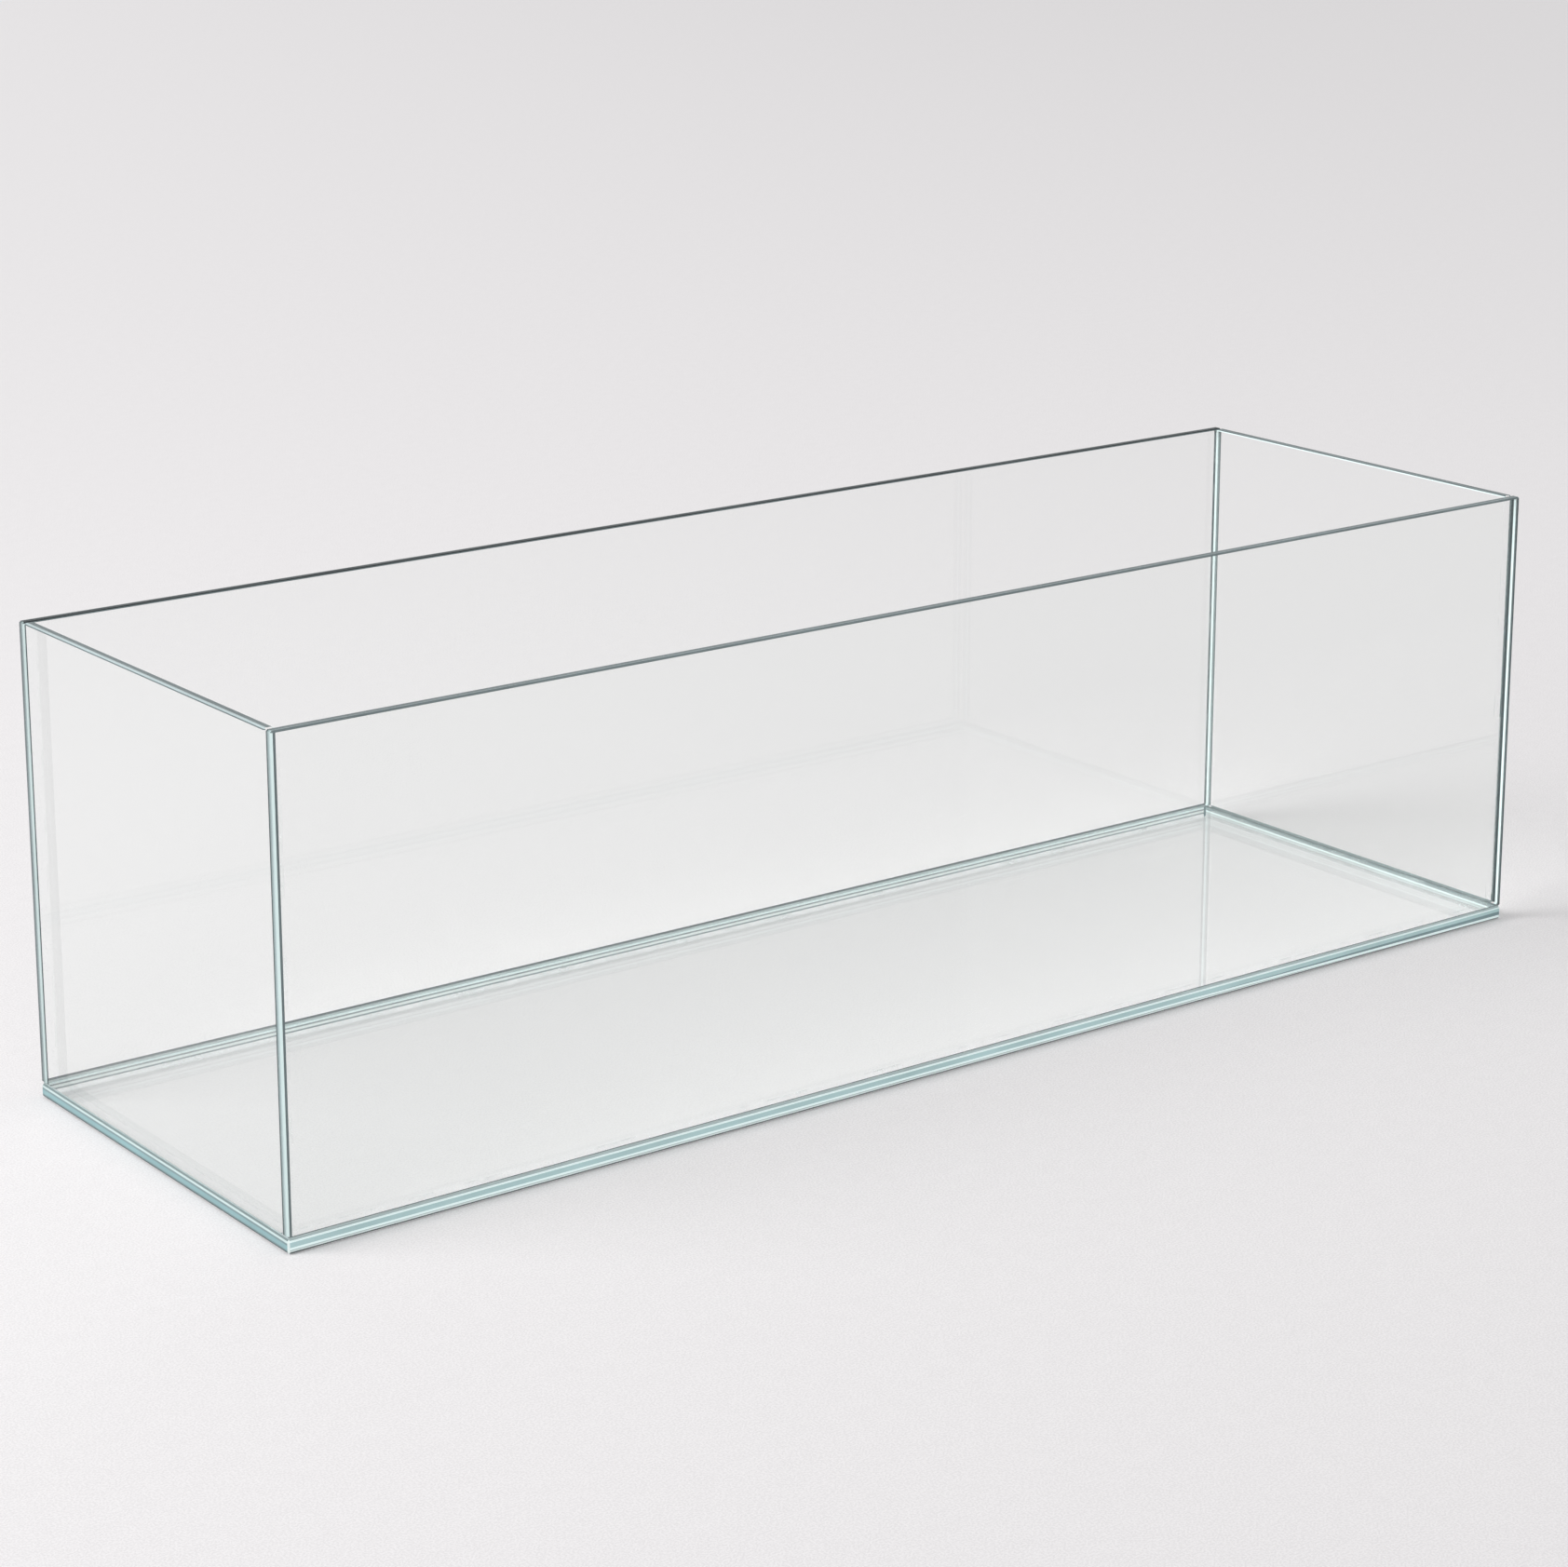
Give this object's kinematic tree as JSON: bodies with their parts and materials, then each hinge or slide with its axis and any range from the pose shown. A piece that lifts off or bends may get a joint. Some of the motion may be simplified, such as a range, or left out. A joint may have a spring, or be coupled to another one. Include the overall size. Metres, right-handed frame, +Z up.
{
  "type": "aquarium tank",
  "caption": "Long, low, rimless glass fish tank: low-iron panes bonded edge to edge with clear silicone on a thicker glass base, open at the top.",
  "frame": {"origin": "centre of the tank's underside, which rests on the stand or shelf", "axes": "+X along the tank's length, +Y from the front pane to the back pane, +Z up"},
  "size_m": [0.9, 0.28, 0.28],
  "materials": {
    "low_iron_glass": "clear polished float glass with a pale teal edge and bevelled, polished edges",
    "clear_silicone": "clear cured silicone, smooth and slightly glossy"
  },
  "bodies": {
    "root": {"base_panel": "low_iron_glass", "front_panel": "low_iron_glass", "back_panel": "low_iron_glass", "left_end_panel": "low_iron_glass", "right_end_panel": "low_iron_glass", "front_base_seam": "clear_silicone", "back_base_seam": "clear_silicone", "left_base_seam": "clear_silicone", "right_base_seam": "clear_silicone", "front_left_seam": "clear_silicone", "front_right_seam": "clear_silicone", "back_left_seam": "clear_silicone", "back_right_seam": "clear_silicone"}
  },
  "joints": []
}
